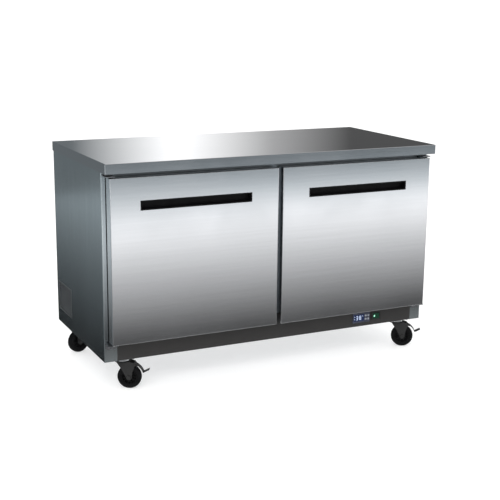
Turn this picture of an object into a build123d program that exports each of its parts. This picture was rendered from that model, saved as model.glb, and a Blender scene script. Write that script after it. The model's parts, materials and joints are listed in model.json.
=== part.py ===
"""Two-door undercounter refrigerator with a stainless worktop, on four swivel castors.

Frame: origin on the floor under the centre of the worktop, +X to the right as seen by
someone who opens the doors, +Y to the rear, +Z up.  Millimetres.
"""

from build123d import *
import math
import os

os.makedirs("parts", exist_ok=True)

# ------------------------------------------------------------------ driving dimensions
TOP_W, TOP_D, TOP_T = 1524.0, 725.0, 40.0      # worktop: width, depth, edge height
CB = 135.0                                     # underside of the cabinet = castor height
BODY_H = 772.0                                 # cabinet without the worktop
CT = CB + BODY_H                               # top of the cabinet, underside of the worktop
H = CT + TOP_T                                 # overall height
YF, YR = -TOP_D / 2, TOP_D / 2                 # worktop front and rear
OVERHANG = 60.0                                # worktop in front of the cabinet face
Y_FACE = YF + OVERHANG                         # front face of the cabinet
Y_BACK = 354.5                                 # outer face of the back panel
XS = 760.0                                     # outer face of a side panel
SHEET = 1.0                                    # outer sheet
XI = 706.0                                     # inner face of a side wall
YI = 305.0                                     # inner face of the back wall
Z_FLOOR = CB + 110.0                           # storage floor
Z_CEIL = CT - 52.0                             # storage ceiling
Z_RAIL = CB + 115.0                            # top of the lower front rail
STEP_Y, STEP_Z = 85.0, CB + 280.0              # machine-compartment step inside the storage
MC_Y, MC_Z = 131.0, CB + 235.0                 # machine compartment: front and top
DOOR_X0, DOOR_X1 = 10.0, 741.0                 # right door, mirrored for the left
DOOR_Z0, DOOR_Z1 = CB + 82.0, CB + 753.0
DOOR_YF, DOOR_YB = YF + 8.0, YF + 53.0         # door front and back planes
HINGE_X, HINGE_Y, PIN_R = 730.0, -330.0, 4.0   # door hinge axis
PULL_W, PULL_Z0, PULL_Z1 = 484.0, CB + 621.0, CB + 660.4   # recessed pull
LOUVRE = (138.0, 328.0, CB + 61.0, CB + 191.0)  # y0, y1, z0, z1 of the side vent
WHEEL_R, TRAIL = 50.0, 30.0
CASTOR_X, CASTOR_YF, CASTOR_YR = 668.0, -250.0, 272.0
PEDAL_X, PEDAL_Z = 52.0, 104.0                 # pedal pivot, measured from the kingpin
CASTOR_ANGLE = {"fl": -30.0, "fr": -30.0, "rl": 195.0, "rr": 190.0}
SHELF_Z = (CB + 305.0, CB + 520.0)
SHELF_Y0, SHELF_Y1 = -255.0, 165.0


# ------------------------------------------------------------------ helpers
def bx(x0, x1, y0, y1, z0, z1):
    return Pos((x0 + x1) / 2, (y0 + y1) / 2, (z0 + z1) / 2) * Box(x1 - x0, y1 - y0, z1 - z0)


def cz(x, y, z0, z1, r):
    return Pos(x, y, (z0 + z1) / 2) * Cylinder(r, z1 - z0)


def cy(x, z, y0, y1, r):
    return Pos(x, (y0 + y1) / 2, z) * Rot(90, 0, 0) * Cylinder(r, y1 - y0)


def cx(y, z, x0, x1, r):
    return Pos((x0 + x1) / 2, y, z) * Rot(0, 90, 0) * Cylinder(r, x1 - x0)


def edges_at(shape, x=None, y=None, z=None, tol=0.05):
    """Straight edges whose middle has the given coordinates."""
    out = []
    for e in shape.edges():
        c = e.center()
        if (x is None or abs(c.X - x) < tol) and (y is None or abs(c.Y - y) < tol) and (z is None or abs(c.Z - z) < tol):
            out.append(e)
    return out


def mirror_x(shape):
    return mirror(shape, about=Plane.YZ)


def save(name, *shapes):
    solids = []
    for s in shapes:
        solids += list(s.solids())
    whole = solids[0] if len(solids) == 1 else Compound(children=solids)
    export_step(whole, f"parts/{name}.step")


def save_pair(name, shapes):
    """A left piece and its mirror image on the right."""
    save(name + "_left", *shapes)
    save(name + "_right", *[mirror_x(s) for s in shapes])


def cut_all(shape, tools):
    return shape - tools if tools else shape


def tube(points, radii, r):
    path = FilletPolyline(*points, radius=radii)
    start = Plane(origin=path @ 0, z_dir=path % 0)
    return sweep(start * Circle(r), path=path)


# ------------------------------------------------------------------ worktop
skin = bx(-TOP_W / 2, TOP_W / 2, YF, YR, CT, H)
skin = fillet(skin.edges().filter_by(Axis.Z), 3.0)
skin = fillet(skin.faces().sort_by(Axis.Z)[-1].edges(), 2.0)
skin -= bx(-TOP_W / 2 + 1.2, TOP_W / 2 - 1.2, YF + 1.2, YR - 1.2, CT + 1.2, H - 1.2)
skin -= bx(-TOP_W / 2 + 14, TOP_W / 2 - 14, YF + 14, YR - 14, CT - 1, CT + 2)
save("worktop_skin", skin)
save("worktop_core", bx(-TOP_W / 2 + 1.4, TOP_W / 2 - 1.4, YF + 1.4, YR - 1.4, CT + 1.4, H - 1.4))


# ------------------------------------------------------------------ cabinet shell
def side_panel(vent):
    out = bx(-XS, -XI, Y_FACE, Y_BACK, CB, CT)
    out = fillet(edges_at(out, x=-XS, y=Y_FACE), 3.0)
    out = fillet(edges_at(out, x=-XS, y=Y_BACK), 2.0)
    inner = bx(-XS + SHEET, -XI + 20, Y_FACE + SHEET, Y_BACK - SHEET, CB + SHEET, CT - SHEET)
    inner = fillet(edges_at(inner, x=-XS + SHEET, y=Y_FACE + SHEET), 2.0)
    out -= inner
    out += bx(-XI - SHEET, -XI, Y_FACE + 0.5, Y_FACE + 16.5, CB + 0.5, CT - 0.5)   # return beside the opening
    if vent:
        y0, y1, z0, z1 = LOUVRE
        out -= bx(-XS - 1, -XS + 2, y0, y1, z0, z1)
    return out


save("side_panel_left", side_panel(True))
save("side_panel_right", mirror_x(side_panel(False)))

# side vent: a framed set of sloping slats
y0, y1, z0, z1 = (LOUVRE[0] + 0.3, LOUVRE[1] - 0.3, LOUVRE[2] + 0.3, LOUVRE[3] - 0.3)
vent = bx(-XS, -XS + 9, y0, y1, z0, z1) - bx(-XS - 1, -XS + 10, y0 + 7, y1 - 7, z0 + 7, z1 - 7)
for i in range(9):
    zc = z0 + 14.0 + i * (z1 - z0 - 28.0) / 8
    vent += Pos(-XS + 4.6, (y0 + y1) / 2, zc) * Rot(0, -35, 0) * Box(8.6, y1 - y0 - 13, 1.6)
save("side_louvre", vent)

rear_upper = (bx(-XI + 0.5, XI - 0.5, Y_BACK - SHEET, Y_BACK, CB + 221, CT - SHEET - 0.1)
     + bx(-XI + 0.5, XI - 0.5, Y_BACK - 12, Y_BACK - SHEET, CB + 235.2, CB + 236.2))

GLAND = (560.0, CB + 55.0)
grille = bx(-XI + 0.5, XI - 0.5, Y_BACK - SHEET, Y_BACK, CB + 1.5, CB + 220.5)
slots = []
for ix in range(16):
    xc = -645.0 + ix * 70.0
    for iz in range(8):
        slots.append(bx(xc - 27, xc + 27, Y_BACK - 3, Y_BACK + 1, CB + 40 + iz * 20, CB + 46 + iz * 20))
slots = [s for s in slots if not (abs(s.center().X - GLAND[0]) < 60 and s.center().Z < GLAND[1] + 30)]
grille = grille - slots
grille -= cy(GLAND[0], GLAND[1], Y_BACK - 3, Y_BACK + 1, 8.1)
save("rear_panels", rear_upper, grille)

gland = Pos(GLAND[0], Y_BACK - 6, GLAND[1]) * Rot(90, 0, 0) * extrude(RegularPolygon(13, 6), 4.5, both=True)
gland = gland + cy(GLAND[0], GLAND[1], Y_BACK - 10.5, Y_BACK, 8.0)
gland += cy(GLAND[0], GLAND[1], Y_BACK, Y_BACK + 3.4, 12.0)
gland += Pos(GLAND[0], Y_BACK + 5.65, GLAND[1]) * Rot(-90, 0, 0) * Cone(10.0, 6.5, 4.5)
gland -= cy(GLAND[0], GLAND[1], Y_BACK - 12, Y_BACK + 10, 4.5)
gland -= bx(GLAND[0] - 20, GLAND[0] + 20, Y_BACK - 1.6, Y_BACK - SHEET, GLAND[1] - 20, GLAND[1] + 20) - cy(GLAND[0], GLAND[1], Y_BACK - 3, Y_BACK + 1, 8.0)
save("cord_gland", gland)

pan = bx(-XI + 0.5, XI - 0.5, Y_FACE + 23, Y_BACK - 1.5, CB, CB + 1.2)
pan += bx(-XI + 0.5, XI - 0.5, Y_FACE + 23, Y_FACE + 24.2, CB, CB + 16)
pan += bx(-XI + 0.5, XI - 0.5, -1.0, 60.0, CB + 1.2, CB + 13) - bx(-XI, XI, 0.2, 58.8, CB + 1.0, CB + 11.8)
save("base_pan", pan)

# ------------------------------------------------------------------ front frame
rail_top = bx(-XI + 0.1, XI - 0.1, Y_FACE, Y_FACE + 16, Z_CEIL, CT - 0.1)
rail_top -= bx(-XI + 0.1, XI - 0.1, Y_FACE + SHEET, Y_FACE + 17, Z_CEIL + SHEET, CT - SHEET - 0.1)
mull = bx(-36, 36, Y_FACE, Y_FACE + 30, Z_RAIL + 0.1, Z_CEIL - 0.1)
mull = fillet(edges_at(mull, x=-36, y=Y_FACE) + edges_at(mull, x=36, y=Y_FACE), 2.0)
mull -= bx(-34.8, 34.8, Y_FACE + 1.2, Y_FACE + 28.8, Z_RAIL, Z_CEIL)
save("front_frame", rail_top, mull)

CTRL_X, CTRL_Z = 444.0, CB + 41.0
SW_X = 522.0
rail = bx(-XI + 0.1, XI - 0.1, Y_FACE, Y_FACE + 16, CB, Z_RAIL)
rail = fillet(edges_at(rail, y=Y_FACE, z=CB), 2.0)
rail -= bx(-XI, XI, Y_FACE + SHEET, Y_FACE + 17, CB + SHEET, Z_RAIL - SHEET)
rail += bx(-XI + 0.1, XI - 0.1, Y_FACE + 15.9, Y_FACE + 22.5, CB, CB + SHEET)
rail -= bx(CTRL_X - 36.3, CTRL_X + 36.3, Y_FACE - 1, Y_FACE + 2, CTRL_Z - 18.3, CTRL_Z + 18.3)
rail -= bx(SW_X - 19.3, SW_X + 19.3, Y_FACE - 1, Y_FACE + 2, CTRL_Z - 14.3, CTRL_Z + 14.3)
save("front_lower_rail", rail)

# ------------------------------------------------------------------ insulation and liner
LINES = (-180.0, 270.0)                      # refrigerant lines pass the step here
foam = bx(-XS + 1.1, XS - 1.1, Y_FACE + 16.6, Y_BACK - 1.1, CB + 60, CT - 1.1)
for s in (-1, 1):
    xa, xb = sorted((s * (XS - 1.1), s * (XI + 1.1)))
    foam += bx(xa, xb, Y_FACE + 3.2, Y_FACE + 16.6, CB + 60, CT - 1.1)
foam -= bx(-XI - 1.1, XI + 1.1, Y_FACE - 5, YI + 1.1, STEP_Z - 1.1, Z_CEIL + 1.1)
foam -= bx(-XI - 1.1, XI + 1.1, Y_FACE - 5, STEP_Y + 1.1, Z_FLOOR - 1.1, STEP_Z + 5)
foam -= bx(-XS, XS, MC_Y, Y_BACK, CB, MC_Z)
foam -= bx(-XI, XI, Y_BACK - 12.2, Y_BACK, CB + 234, CB + 236.4)
foam -= cz(LINES[0], LINES[1], MC_Z - 5, STEP_Z + 5, 14.0)
save("cabinet_foam", foam)

wall_l = bx(-XI - 1, -XI, Y_FACE + 17, YI + 1, Z_FLOOR, Z_CEIL) - bx(-XI - 2, -XI + 1, STEP_Y + 1, YI + 3, Z_FLOOR - 1, STEP_Z - 1)
wall_r = mirror_x(wall_l)
ceiling = bx(-XI, XI, Y_FACE + 17, YI, Z_CEIL, Z_CEIL + 1)
back = bx(-XI, XI, YI, YI + 1, STEP_Z, Z_CEIL)
floor = bx(-XI, XI, Y_FACE + 17, STEP_Y, Z_FLOOR - 1, Z_FLOOR)
step = bx(-XI, XI, STEP_Y, STEP_Y + 1, Z_FLOOR, STEP_Z) + bx(-XI, XI, STEP_Y, YI, STEP_Z - 1, STEP_Z)
step -= cz(LINES[0], LINES[1], STEP_Z - 5, STEP_Z + 5, 14.0)
save("inner_liner", wall_l, wall_r, ceiling, back, floor, step)


# ------------------------------------------------------------------ doors (built on the left, mirrored)
X0, X1 = -DOOR_X1, -DOOR_X0
XC = (X0 + X1) / 2
ds = bx(X0, X1, DOOR_YF, DOOR_YB, DOOR_Z0, DOOR_Z1)
ds = fillet(edges_at(ds, x=X0, y=DOOR_YF) + edges_at(ds, x=X1, y=DOOR_YF), 4.0)
ds = fillet([e for e in ds.faces().sort_by(Axis.Z)[-1].edges() if e.center().Y < DOOR_YF + 3]
            + [e for e in ds.faces().sort_by(Axis.Z)[0].edges() if e.center().Y < DOOR_YF + 3], 1.5)
inner = bx(X0 + SHEET, X1 - SHEET, DOOR_YF + SHEET, DOOR_YB - SHEET, DOOR_Z0 + SHEET, DOOR_Z1 - SHEET)
inner = fillet(edges_at(inner, x=X0 + SHEET, y=DOOR_YF + SHEET) + edges_at(inner, x=X1 - SHEET, y=DOOR_YF + SHEET), 3.0)
ds -= inner
ds -= bx(X0 + 13, X1 - 13, DOOR_YB - 3, DOOR_YB + 1, DOOR_Z0 + 13, DOOR_Z1 - 13)
CUT = (XC - PULL_W / 2 + 3, XC + PULL_W / 2 - 3, PULL_Z0 + 2.7, PULL_Z1 - 2.7)
ds -= bx(CUT[0], CUT[1], DOOR_YF - 1, DOOR_YF + 3, CUT[2], CUT[3])
for za, zb in ((DOOR_Z0 - 1, DOOR_Z0 + 3), (DOOR_Z1 - 3, DOOR_Z1 + 1)):
    ds -= cz(-HINGE_X, HINGE_Y, za, zb, 7.1)
save_pair("door_skin", [ds])

dl = bx(X0 + 13.3, X1 - 13.3, DOOR_YB - 1, DOOR_YB, DOOR_Z0 + 13.3, DOOR_Z1 - 13.3)
plateau = bx(X0 + 46, X1 - 46, DOOR_YB - 1, DOOR_YB + 5.5, DOOR_Z0 + 46, DOOR_Z1 - 46)
plateau = fillet(plateau.edges().filter_by(Axis.Y), 14.0)
plateau = fillet([e for e in plateau.faces().sort_by(Axis.Y)[-1].edges()], 2.5)
dl += plateau
hollow = bx(X0 + 47, X1 - 47, DOOR_YB - 3, DOOR_YB + 4.5, DOOR_Z0 + 47, DOOR_Z1 - 47)
hollow = fillet(hollow.edges().filter_by(Axis.Y), 13.0)
dl -= hollow
save_pair("door_liner", [dl])

# recessed pull, two mouldings snapped together through the skin: a pocket open to the front,
# and a trim bezel whose lip closes the front of the pocket above the opening, for the fingers to hook behind
LIP_Y = DOOR_YF + 7.5
pocket = bx(CUT[0] + 0.2, CUT[1] - 0.2, LIP_Y, DOOR_YF + 30, CUT[2] + 0.2, CUT[3] + 15)
pocket -= bx(CUT[0] + 2, CUT[1] - 2, DOOR_YF, DOOR_YF + 28, CUT[2] + 2, CUT[3] + 13)
bezel = bx(XC - PULL_W / 2, XC + PULL_W / 2, DOOR_YF - 0.6, DOOR_YF, PULL_Z0, PULL_Z1)
bezel += bx(CUT[0] + 0.2, CUT[1] - 0.2, DOOR_YF - 0.3, LIP_Y, CUT[2] + 0.2, CUT[3] - 0.2)
bezel += bx(CUT[0] + 0.2, CUT[1] - 0.2, LIP_Y - 2, LIP_Y, CUT[3] - 1.0, CUT[3] + 15)
bezel -= bx(CUT[0] + 2, CUT[1] - 2, DOOR_YF - 2, LIP_Y + 1, CUT[2] + 2, CUT[3] - 2)
save_pair("door_pull", [pocket, bezel])

df = bx(X0 + 1.1, X1 - 1.1, DOOR_YF + 1.1, DOOR_YB - 1.1, DOOR_Z0 + 1.1, DOOR_Z1 - 1.1)
df = fillet(edges_at(df, x=X0 + 1.1, y=DOOR_YF + 1.1) + edges_at(df, x=X1 - 1.1, y=DOOR_YF + 1.1), 3.2)
df -= bx(CUT[0] - 0.1, CUT[1] + 0.1, DOOR_YF - 1, DOOR_YF + 30.2, CUT[2] - 0.1, CUT[3] + 15.2)
df -= cz(-HINGE_X, HINGE_Y, DOOR_Z1 - 26, DOOR_Z1, 7.2)
df -= cz(-HINGE_X, HINGE_Y, DOOR_Z0, DOOR_Z0 + 61, 7.2)
save_pair("door_foam", [df])

gk = bx(-724, -14, DOOR_YB, Y_FACE - 0.35, DOOR_Z0 + 6, DOOR_Z1 - 6)
gk = fillet(gk.edges().filter_by(Axis.Y), 3.0)
gk -= bx(-724 + 17, -14 - 17, DOOR_YB - 1, Y_FACE + 1, DOOR_Z0 + 23, DOOR_Z1 - 23)
save_pair("door_gasket", [gk])

# hinge bush at the top of the door, self-closing cartridge at the bottom
bush = cz(-HINGE_X, HINGE_Y, DOOR_Z1 - 25, DOOR_Z1, 7.0) + cz(-HINGE_X, HINGE_Y, DOOR_Z1, DOOR_Z1 + 1.6, 9.5)
bush -= cz(-HINGE_X, HINGE_Y, DOOR_Z1 - 22, DOOR_Z1 + 3, PIN_R + 0.06)
closer = cz(-HINGE_X, HINGE_Y, DOOR_Z0, DOOR_Z0 + 60, 7.0) + cz(-HINGE_X, HINGE_Y, DOOR_Z0 - 1.6, DOOR_Z0, 9.5)
closer -= cz(-HINGE_X, HINGE_Y, DOOR_Z0 - 3, DOOR_Z0 + 32, PIN_R + 0.06)
save_pair("hinge_bushes", [bush, closer])

# hinge brackets with their pins, fixed to the cabinet face
HB_X0, HB_X1 = -754.0, -711.0
tb = bx(HB_X0, HB_X1, -343, Y_FACE, DOOR_Z1 + 3.5, DOOR_Z1 + 6.5)
tb = fillet(edges_at(tb, y=-343, x=HB_X0) + edges_at(tb, y=-343, x=HB_X1), 8.0)
tb += bx(HB_X0, HB_X1, Y_FACE - 3, Y_FACE, DOOR_Z1 + 3.5, CT - 0.3)
tb += cz(-HINGE_X, HINGE_Y, DOOR_Z1 - 19, DOOR_Z1 + 4, PIN_R)
bb = bx(HB_X0, HB_X1, -343, Y_FACE, DOOR_Z0 - 6.5, DOOR_Z0 - 3.5)
bb = fillet(edges_at(bb, y=-343, x=HB_X0) + edges_at(bb, y=-343, x=HB_X1), 8.0)
bb += bx(HB_X0, HB_X1, Y_FACE - 3, Y_FACE, DOOR_Z0 - 28, DOOR_Z0 - 3.5)
bb += cz(-HINGE_X, HINGE_Y, DOOR_Z0 - 5, DOOR_Z0 + 29, PIN_R)
HOLES = [(-743.0, DOOR_Z0 - 17), (-722.0, DOOR_Z0 - 17)]
for hx, hz in HOLES:
    bb -= cy(hx, hz, Y_FACE - 4, Y_FACE + 1, 2.6)
save("hinge_brackets", tb, mirror_x(tb), bb, mirror_x(bb))


# ------------------------------------------------------------------ castors (local frame: kingpin on Z)
def castor_plate():
    p = bx(-47.5, 47.5, -37.5, 37.5, CB - 3, CB)
    p = fillet(p.edges().filter_by(Axis.Z), 7.0)
    for sx in (-1, 1):
        for sy in (-1, 1):
            p -= cz(sx * 38, sy * 28, CB - 5, CB + 1, 4.2)
    p += cz(0, 0, CB - 14.4, CB - 3, 30.0) - cz(0, 0, CB - 15, CB - 5, 26.0) + cz(0, 0, CB - 8, CB - 4, 20)
    p += cz(0, 0, CB - 24, CB - 3, 6.0) + cz(0, 0, CB - 26.5, CB - 21.5, 10.0)
    return p


def fork():
    f = cz(0, 0, CB - 21, CB - 18, 30.0) + cz(0, 0, CB - 18.2, CB - 15, 24.0)
    f += bx(-22, 34, -20, 20, CB - 21, CB - 18)
    f -= cz(0, 0, CB - 30, CB - 10, 6.06)
    f -= cz(0, 0, CB - 19, CB - 10, 21.0)
    with BuildSketch(Plane.XZ) as leg:
        Polygon((-22, CB - 18), (34, CB - 18), (52, CB - 24), (58, CB - 32), (53, CB - 40),
                (45, WHEEL_R + 22), (42, WHEEL_R), (18, WHEEL_R), (3, WHEEL_R + 30), align=None)
        with Locations((TRAIL, WHEEL_R)):
            Circle(12.0)
    ear = extrude(leg.sketch, 3.0)
    c = ear.bounding_box().center().Y
    for v in (-18.5, 18.5):
        f += Pos(0, v - c, 0) * ear
    f -= cy(TRAIL, WHEEL_R, -30, 30, 4.95)
    f -= cy(PEDAL_X, PEDAL_Z, -30, 30, 2.5)
    axle = cy(TRAIL, WHEEL_R, -20, 20, 4.95)
    for v in (-22.25, 22.25):
        axle += Pos(TRAIL, v, WHEEL_R) * Rot(90, 0, 0) * extrude(RegularPolygon(8.5, 6), 2.25, both=True)
    pin = cy(PEDAL_X, PEDAL_Z, -21, 21, 2.5)
    return f, axle, pin


def wheel():
    tyre = cy(TRAIL, WHEEL_R, -14, 14, WHEEL_R)
    tyre = fillet([e for e in tyre.edges() if e.geom_type == GeomType.CIRCLE], 5.0)
    tyre -= cy(TRAIL, WHEEL_R, -20, 20, 33.0)
    hub = cy(TRAIL, WHEEL_R, -12.5, 12.5, 33.0)
    for a, b in ((-14, -4), (4, 14)):
        hub -= cy(TRAIL, WHEEL_R, a, b, 28.5) - cy(TRAIL, WHEEL_R, a - 1, b + 1, 12.0)
    hub += cy(TRAIL, WHEEL_R, -16.5, 16.5, 11.0)
    hub -= cy(TRAIL, WHEEL_R, -20, 20, 5.0)
    return tyre, hub


def brake():
    """Foot pedal on the fork: a curved shoe arm behind the tyre and a tab that stands out."""
    a0, a1, ri, ro = 18.0, 60.0, 60.2, 63.0
    pt = lambda a, r: (TRAIL + r * math.cos(math.radians(a)), WHEEL_R + r * math.sin(math.radians(a)))
    n = 8
    prof = [pt(a0 + (a1 - a0) * i / n, ri) for i in range(n + 1)] + [pt(a1 - (a1 - a0) * i / n, ro) for i in range(n + 1)]
    with BuildSketch(Plane.XZ) as s:
        Polygon(*prof, align=None)
        Polygon(pt(a0, ri), (113.2, 81.6), (112.3, 84.4), pt(a0 + 3, ro), align=None)
        with Locations((PEDAL_X, PEDAL_Z)):
            Circle(5.4)
        Polygon(pt(a1 - 10, ri), pt(a1 - 10, ro), (PEDAL_X + 3.2, PEDAL_Z + 3.6), (PEDAL_X - 1.5, PEDAL_Z - 4.6), align=None)
    b = extrude(s.sketch, 24.0)
    b = Pos(0, -b.bounding_box().center().Y, 0) * b
    b -= cy(PEDAL_X, PEDAL_Z, -20, 20, 2.56)
    b -= cy(TRAIL, WHEEL_R, -20, 20, 51.2)
    return b


PLACES = {
    "fl": (-CASTOR_X, CASTOR_YF), "fr": (CASTOR_X, CASTOR_YF),
    "rl": (-CASTOR_X, CASTOR_YR), "rr": (CASTOR_X, CASTOR_YR),
}
cp = castor_plate()
save("castor_plates", *[Pos(x, y, 0) * cp for x, y in PLACES.values()])
fk_, ax_, pin_ = fork()
ty_, hu_ = wheel()
br_ = brake()
for tag, (x, y) in PLACES.items():
    at = Pos(x, y, 0) * Rot(0, 0, CASTOR_ANGLE[tag])
    if tag[0] == "f":
        save(f"castor_fork_{tag}", at * fk_, at * ax_, at * pin_)
        save(f"castor_brake_{tag}", at * br_)
    else:
        save(f"castor_fork_{tag}", at * fk_, at * ax_, at * pin_)
    save(f"castor_wheel_{tag}", at * ty_, at * hu_)


# ------------------------------------------------------------------ shelves and their supports
def shelf(x0, x1, z):
    """Welded wire shelf; z is the centre of the perimeter wire."""
    ya, yb = SHELF_Y0 + 3.5, SHELF_Y1 - 3.5
    xa, xb = x0 + 3.5, x1 - 3.5
    parts = [cx(ya, z, xa, xb, 3.5), cx(yb, z, xa, xb, 3.5), cy(xa, z, ya, yb, 3.5), cy(xb, z, ya, yb, 3.5)]
    parts += [Pos(x, y, z) * Sphere(3.5) for x in (xa, xb) for y in (ya, yb)]
    parts += [cx(y, z, xa, xb, 3.0) for y in (-140.0, -45.0, 50.0)]
    n = 23
    for i in range(1, n + 1):
        x = xa + (xb - xa) * i / (n + 1)
        parts.append(cy(x, z + 4.2, ya - 1.0, yb + 1.0, 2.0))
    whole = parts[0]
    return whole + parts[1:]


for tag, sx in (("left", -1), ("right", 1)):
    xa, xb = sorted((sx * 691.5, sx * 20.5))
    save(f"shelf_{tag}_lower", shelf(xa, xb, SHELF_Z[0]))
    save(f"shelf_{tag}_upper", shelf(xa, xb, SHELF_Z[1]))

supports = []
for sx in (-1, 1):
    for yc, zlo in ((-225.0, Z_FLOOR + 2), (130.0, STEP_Z + 2)):
        a, b = sorted((sx * (XI - 0.05), sx * (XI - 8)))
        post = bx(a, b, yc - 12, yc + 12, zlo, Z_CEIL - 2)
        a, b = sorted((sx * (XI - 6.5), sx * (XI - 9)))
        n = int((Z_CEIL - 2 - zlo - 20) / 25)
        supports.append(post - [bx(a, b, yc - 6, yc + 6, zlo + 12 + k * 25, zlo + 15 + k * 25) for k in range(n)])
front_c = bx(-10, 10, Y_FACE + 30.1, Y_FACE + 38, Z_RAIL + 2, Z_CEIL - 2)
front_c -= [bx(-5, 5, Y_FACE + 36.5, Y_FACE + 39, Z_RAIL + 14 + k * 25, Z_RAIL + 17 + k * 25) for k in range(22)]
rear_c = bx(-10, 10, 120, 145, STEP_Z + 0.1, Z_CEIL - 0.1) - bx(-8.8, 8.8, 121.2, 143.8, STEP_Z, Z_CEIL)
rear_c -= [bx(-5, 5, 143, 146, STEP_Z + 14 + k * 25, STEP_Z + 17 + k * 25) for k in range(16)]

clips = []
for z in SHELF_Z:
    top = z - 3.65
    for sx in (-1, 1):
        for yc in (-225.0, 130.0):
            a, b = sorted((sx * (XI - 8.05), sx * 681.0))
            c = bx(a, b, yc - 8, yc + 8, top - 2.5, top)
            a2, b2 = sorted((sx * (XI - 8.05), sx * (XI - 10.5)))
            c += bx(a2, b2, yc - 8, yc + 8, top - 16, top)
            clips.append(c)
    clips.append(bx(-38, 38, Y_FACE + 38.05, SHELF_Y0 + 12, top - 2.5, top) + bx(-38, 38, Y_FACE + 38.05, Y_FACE + 40.5, top - 16, top))
    clips.append(bx(-38, 38, 145.05, 163, top - 2.5, top) + bx(-38, 38, 145.05, 147.5, top - 16, top))
save("shelf_supports", *supports, front_c, rear_c, *clips)

# ------------------------------------------------------------------ evaporator on the back wall
EV_Z0, EV_Z1, EV_Y = CB + 445.0, CB + 712.0, 190.0
FAN_Z = (EV_Z0 + EV_Z1) / 2 - 10
cover = bx(-300, 300, EV_Y, YI - 0.1, EV_Z0, EV_Z1)
cover = fillet(edges_at(cover, y=EV_Y, x=-300) + edges_at(cover, y=EV_Y, x=300) + edges_at(cover, y=EV_Y, z=EV_Z0), 6.0)
cover -= bx(-298.8, 298.8, EV_Y + 1.2, YI + 1, EV_Z0 + 1.2, EV_Z1 - 1.2)
cover -= bx(-260, 260, EV_Y + 40, YI - 14, EV_Z0 - 1, EV_Z0 + 3)               # return air at the bottom
ring_cut = cy(0, FAN_Z, EV_Y - 1, EV_Y + 3, 88.0)
guard = ring_cut & bx(-100, 100, EV_Y, EV_Y + 1.2, FAN_Z - 100, FAN_Z + 100)
bars = [cy(0, FAN_Z, EV_Y, EV_Y + 1.2, r + 1.5) - cy(0, FAN_Z, EV_Y - 1, EV_Y + 3, r - 1.5) for r in (20, 37, 54, 71)]
bars += [bx(-89, 89, EV_Y, EV_Y + 1.2, FAN_Z - 1.5, FAN_Z + 1.5), bx(-1.5, 1.5, EV_Y, EV_Y + 1.2, FAN_Z - 89, FAN_Z + 89)]
cover = cover - ring_cut + bars
for k in range(6):
    for s in (-1, 1):
        a, b = sorted((s * 125, s * 275))
        cover -= bx(a, b, EV_Y - 1, EV_Y + 3, EV_Z0 + 60 + k * 28, EV_Z0 + 66 + k * 28)
save("evaporator_cover", cover)


def coil(length, depth, height, rows, cols, fins, back=0.0, foot=0.0, r=4.5):
    """Finned block along X, centred on the origin, with its tubes and its two end plates brazed in one piece."""
    with BuildSketch(Plane.YZ) as s:
        Rectangle(depth, height)
    fin = extrude(s.sketch, 0.5, both=True)
    ys = [(-depth / 2 + depth * (i + 0.5) / cols) for i in range(cols)]
    zs = [(-height / 2 + height * (i + 0.5) / rows) for i in range(rows)]
    tubes = [cx(y, z, -length / 2 - 6, length / 2 + 6, r) for y in ys for z in zs]
    ends = [bx(sx * length / 2 - 0.8, sx * length / 2 + 0.8, -depth / 2, depth / 2 + back, -height / 2 - foot, height / 2) for sx in (-1, 1)]
    return tubes[0] + tubes[1:] + ends + [Pos(-length / 2 + length * i / (fins - 1), 0, 0) * fin for i in range(1, fins - 1)]


EV_BOTTOM = FAN_Z + 4 - 85
evap = Pos(0, 272, FAN_Z + 4) * coil(470, 46, 170, 4, 2, 30, back=YI - 0.1 - 295)
save("evaporator_coil", evap)


def blades(r_hub, r_tip, n, chord, thick, pitch, depth):
    """Axial fan along +Z, centred on the origin."""
    f = Cylinder(r_hub, depth)
    f += [Rot(0, 0, 360.0 * i / n) * Pos((r_hub + r_tip) / 2 - 2, 0, 0) * Rot(pitch, 0, 0) * Box(r_tip - r_hub + 2, chord, thick) for i in range(n)]
    return f - Cylinder(3.06, depth + 10)


ev_fan = Pos(0, EV_Y + 18, FAN_Z) * Rot(90, 0, 0) * blades(20, 78, 5, 34, 2.0, 28, 18)
save("evaporator_fan", ev_fan)

# ------------------------------------------------------------------ condensing unit
MX, MY, MZ = -650.0, 240.0, CB + 118.0       # condenser fan centre
base = bx(-748, -250, 138, 347, CB + 1.2, CB + 2.8) + bx(-748, -250, 138, 139.6, CB + 1.2, CB + 18) + bx(-748, -250, 345.4, 347, CB + 1.2, CB + 18)
cond = Pos(-719, MY, MZ) * Rot(0, 0, 90) * coil(170, 42, 176, 5, 2, 24, foot=MZ - 88 - (CB + 2.8))
save("condenser_coil", cond)
shroud = bx(-694, -664, MY - 95, MY + 95, MZ - 92, MZ + 92) - bx(-695, -665.5, MY - 93.5, MY + 93.5, MZ - 90.5, MZ + 90.5) - cx(MY, MZ, -670, -660, 80)
shroud += bx(-694, -664, MY - 60, MY - 40, CB + 2.8, MZ - 91) + bx(-694, -664, MY + 40, MY + 60, CB + 2.8, MZ - 91)
cd_fan = Pos(-672, MY, MZ) * Rot(0, 90, 0) * blades(20, 76, 5, 34, 2.0, 28, 18)
save("condenser_fan", cd_fan)

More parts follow.
